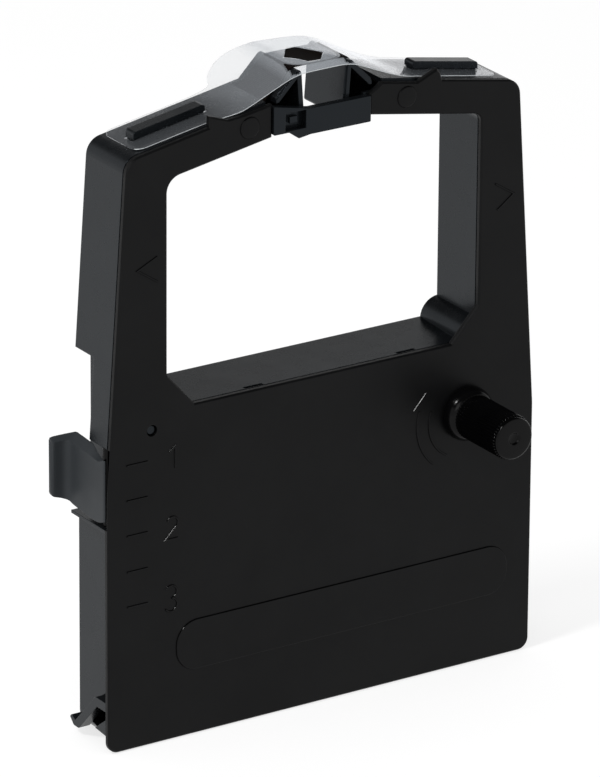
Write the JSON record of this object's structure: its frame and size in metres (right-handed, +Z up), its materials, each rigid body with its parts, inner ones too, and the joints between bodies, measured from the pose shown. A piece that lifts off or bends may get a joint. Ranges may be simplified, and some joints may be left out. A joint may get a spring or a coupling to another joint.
{
  "type": "printer ribbon cartridge",
  "caption": "Flat black cartridge that stands on its base, with a head window, horns under a clear film, a ribbed hand knob and an inked ribbon folded inside.",
  "frame": {"origin": "middle of the base face, half way between the cover's front face and the back face", "axes": "+X to the right seen from the front, +Y from the front cover to the back, +Z up to the nose"},
  "size_m": [0.1324, 0.0446, 0.1705],
  "materials": {
    "housing_plastic": "smooth black moulded plastic with a soft sheen",
    "cover_plastic": "fine spark-eroded black texture with low sheen",
    "knob_plastic": "glossy black, fine ribs",
    "latch_plastic": "smooth black moulded plastic",
    "wheel_plastic": "natural white acetal",
    "arm_plastic": "plain black moulded plastic",
    "spring_steel": "bright spring steel",
    "ribbon_fabric": "woven nylon soaked in black ink",
    "felt": "pressed felt",
    "clear_film": "thin clear film with a faint blue-grey haze"
  },
  "bodies": {
    "shell": {"rear_housing": "housing_plastic", "front_cover": "cover_plastic", "idler_spring": "spring_steel", "ribbon": "ribbon_fabric", "brake_spring": "spring_steel", "brake_pad": "felt", "ribbon_stripper": "arm_plastic", "film_shield": "clear_film", "nose_bridge": "housing_plastic", "latch_pin": "spring_steel", "latch_spring": "spring_steel", "guide_pin_left": "cover_plastic", "guide_pin_right": "cover_plastic"},
    "drive": {"hand_knob": "knob_plastic", "drive_wheel": "wheel_plastic"},
    "arm": {"idler_arm": "arm_plastic"},
    "idler": {"idler_wheel": "wheel_plastic"},
    "latch": {"side_latch": "latch_plastic"},
    "roller_left": {"guide_roller_left": "wheel_plastic"},
    "roller_right": {"guide_roller_right": "wheel_plastic"}
  },
  "joints": [
    {"name": "knob_spin", "type": "hinge", "parent": "shell", "child": "drive", "pos_m": [0.04255, 0, 0.0698], "axis": [0, 1, 0], "continuous": true},
    {"name": "idler_arm_swing", "type": "hinge", "parent": "shell", "child": "arm", "pos_m": [0.0467, 0, 0.0892], "axis": [0, -1, 0], "range_deg": [0, 5], "stiffness_Nm_per_rad": 0.02, "springref_deg": -5.73, "deforming": ["idler_spring"]},
    {"name": "idler_spin", "type": "hinge", "parent": "arm", "child": "idler", "pos_m": [0.05545, 0, 0.0698], "axis": [0, 1, 0], "continuous": true},
    {"name": "side_latch_press", "type": "hinge", "parent": "shell", "child": "latch", "pos_m": [-0.0614, -0.00595, 0.07], "axis": [0, 0, -1], "range_deg": [0, 6], "stiffness_Nm_per_rad": 0.05, "springref_deg": -5.73, "deforming": ["latch_spring"]},
    {"name": "roller_left_spin", "type": "hinge", "parent": "shell", "child": "roller_left", "pos_m": [-0.0512, 0, 0.1493], "axis": [0, 1, 0], "continuous": true},
    {"name": "roller_right_spin", "type": "hinge", "parent": "shell", "child": "roller_right", "pos_m": [0.0512, 0, 0.1493], "axis": [0, 1, 0], "continuous": true}
  ],
  "couplings": [
    {"joint": "idler_spin", "follows": "knob_spin", "ratio": -2}
  ]
}
